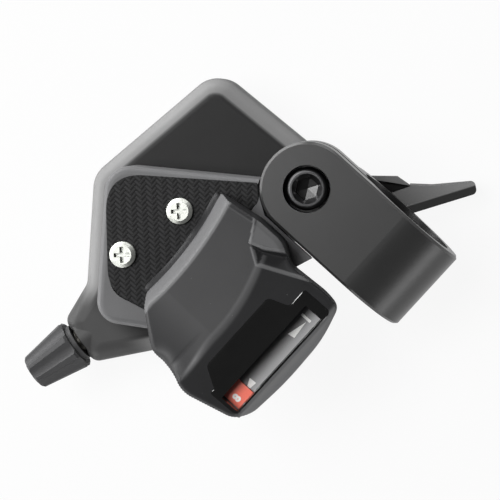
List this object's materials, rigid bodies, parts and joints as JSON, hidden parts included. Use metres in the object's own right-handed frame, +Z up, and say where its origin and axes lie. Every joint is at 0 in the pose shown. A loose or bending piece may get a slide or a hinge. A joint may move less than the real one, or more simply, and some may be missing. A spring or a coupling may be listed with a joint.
{
  "type": "trigger shifter",
  "caption": "Bicycle trigger shifter with a bar clamp, thumb and release levers, ratcheted cable drum, barrel adjuster and a gear window with a sliding pointer.",
  "frame": {"origin": "middle of the clamp bore, on the handlebar's axis", "axes": "+X along the handlebar towards the grip end, +Y forward, +Z up along the clamp bolt"},
  "size_m": [0.0916, 0.0666, 0.0453],
  "materials": {
    "housing_black": "fine moulded grain",
    "cover_grey": "satin moulded",
    "panel_weave": "weave look under clear coat",
    "pod_grey": "satin moulded with fine specks",
    "fascia_black": "polished",
    "window_clear": "clear moulded",
    "dial_grey": "printed strip",
    "pointer_red": "moulded",
    "clamp_black": "satin black anodised",
    "bolt_black": "black oxide",
    "steel_zinc": "zinc plated",
    "steel_hard": "hardened",
    "steel_spring": "drawn wire",
    "drum_white": "moulded acetal",
    "lever_black": "satin moulded",
    "barrel_black": "matte moulded",
    "brass": "turned"
  },
  "bodies": {
    "housing": {"clamp_band": "clamp_black", "clamp_bolt": "bolt_black", "clamp_insert": "brass", "base_housing": "housing_black", "base_plate": "steel_zinc", "plate_screws": "steel_zinc", "top_cover": "cover_grey", "trim_panel": "panel_weave", "cover_screws": "steel_zinc", "indicator_housing": "pod_grey", "indicator_fascia": "fascia_black", "indicator_window": "window_clear", "indicator_floor": "pod_grey", "indicator_dial": "dial_grey", "pointer_rail": "steel_zinc", "main_axle": "steel_zinc", "axle_clip": "steel_zinc", "indicator_wire": "steel_spring", "hold_pawl_pin": "steel_zinc", "hold_pawl_spring": "steel_spring", "thumb_lever_spring": "steel_spring", "lever_washer": "steel_zinc", "axle_nut": "steel_zinc", "release_lever_spring": "steel_spring", "adjuster_spring": "steel_spring"},
    "winder": {"cable_drum": "drum_white", "ratchet_wheel": "steel_hard"},
    "pointer": {"indicator_pointer": "pointer_red"},
    "thumb": {"thumb_lever": "lever_black", "feed_pawl_pin": "steel_zinc", "feed_pawl_spring": "steel_spring"},
    "feed": {"feed_pawl": "steel_hard"},
    "release": {"release_lever": "lever_black"},
    "hold": {"hold_pawl": "steel_hard"},
    "adjuster": {"barrel_adjuster": "barrel_black", "adjuster_stem": "brass"}
  },
  "joints": [
    {"name": "winder_turn", "type": "hinge", "parent": "housing", "child": "winder", "pos_m": [-0.0205, 0.0335, 0], "axis": [0, 0, 1], "range_deg": [0, 105], "deforming": ["indicator_wire"]},
    {"name": "pointer_slide", "type": "slide", "parent": "housing", "child": "pointer", "axis": [1, 0, 0], "range_m": [0, 0.0195], "deforming": ["indicator_wire"]},
    {"name": "thumb_push", "type": "hinge", "parent": "housing", "child": "thumb", "pos_m": [-0.0205, 0.0335, 0], "axis": [0, 0, 1], "range_deg": [0, 40], "stiffness_Nm_per_rad": 0.1, "springref_deg": -17.19, "deforming": ["thumb_lever_spring"]},
    {"name": "feed_pawl_pivot", "type": "hinge", "parent": "thumb", "child": "feed", "pos_m": [-0.02181, 0.01856, 0], "axis": [0, 0, 1], "range_deg": [-12, 0], "stiffness_Nm_per_rad": 0.005, "springref_deg": 17.19, "deforming": ["feed_pawl_spring"]},
    {"name": "release_push", "type": "hinge", "parent": "housing", "child": "release", "pos_m": [-0.0205, 0.0335, 0], "axis": [0, 0, 1], "range_deg": [0, 8], "stiffness_Nm_per_rad": 0.08, "springref_deg": -17.19, "deforming": ["release_lever_spring"]},
    {"name": "hold_pawl_pivot", "type": "hinge", "parent": "housing", "child": "hold", "pos_m": [-0.0385, 0.0335, 0], "axis": [0, 0, 1], "range_deg": [-10.5, 0], "deforming": ["hold_pawl_spring"]},
    {"name": "adjuster_turn", "type": "hinge", "parent": "housing", "child": "adjuster", "pos_m": [-0.0571, 0.0321, -0.0066], "axis": [-0.9744, 0.225, 0], "range_deg": [-360, 360]}
  ],
  "couplings": [
    {"joint": "pointer_slide", "follows": "winder_turn", "m_per_rad": 0.0106},
    {"joint": "hold_pawl_pivot", "follows": "release_push", "ratio": -1.3}
  ]
}
